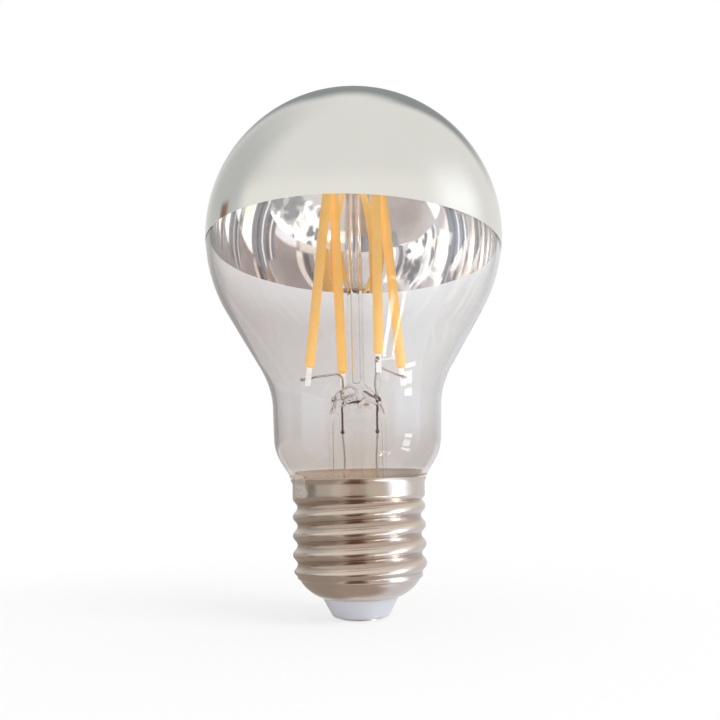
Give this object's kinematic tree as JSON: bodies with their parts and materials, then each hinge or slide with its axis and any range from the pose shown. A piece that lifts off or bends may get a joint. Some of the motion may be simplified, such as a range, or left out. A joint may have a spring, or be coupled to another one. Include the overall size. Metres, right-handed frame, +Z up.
{
  "type": "silver crown filament bulb",
  "caption": "Clear glass A60 screw-cap bulb with a mirrored silver crown, upright LED filaments on a glass stem and a threaded E27 cap.",
  "frame": {"origin": "centre of the flat face of the centre contact, at the bottom of the cap", "axes": "+Z up the bulb's axis towards the crown, -Y towards the front, +X to the right seen from the front"},
  "size_m": [0.061, 0.061, 0.1064],
  "materials": {
    "clear_glass": "clear, polished",
    "crown_mirror": "mirror film with satin lacquer",
    "phosphor": "orange silicone and phosphor",
    "filament_metal": "bright plated strip",
    "lead_nickel": "drawn nickel wire",
    "seal_wire": "borated copper clad wire",
    "copper_wire": "tinned copper wire",
    "cap_nickel": "nickel plated rolled sheet",
    "cement": "baked capping cement",
    "insulator_white": "moulded white plastic",
    "contact_metal": "plated rivet",
    "board_green": "printed circuit board",
    "package_black": "moulded package",
    "capacitor_can": "sleeved can",
    "resistor_body": "lacquered resistor"
  },
  "bodies": {
    "root": {"glass_envelope": "clear_glass", "silver_crown": "crown_mirror", "stem": "clear_glass", "cap_shell": "cap_nickel", "capping_cement": "cement", "cap_insulator": "insulator_white", "centre_contact": "contact_metal", "inner_lead_left": "lead_nickel", "inner_lead_right": "lead_nickel", "side_arm_right": "lead_nickel", "top_support": "lead_nickel", "seal_wire_left": "seal_wire", "seal_wire_right": "seal_wire", "outer_lead_left": "copper_wire", "outer_lead_right": "copper_wire", "contact_wire": "copper_wire", "resistor_lead": "copper_wire", "shell_wire": "copper_wire", "driver_board": "board_green", "bridge_rectifier": "package_black", "driver_chip": "package_black", "smoothing_capacitor": "capacitor_can", "fuse_resistor": "resistor_body", "led_filament_1": "phosphor", "filament_strip_1": "filament_metal", "led_filament_2": "phosphor", "filament_strip_2": "filament_metal", "led_filament_3": "phosphor", "filament_strip_3": "filament_metal", "led_filament_4": "phosphor", "filament_strip_4": "filament_metal"}
  },
  "joints": []
}
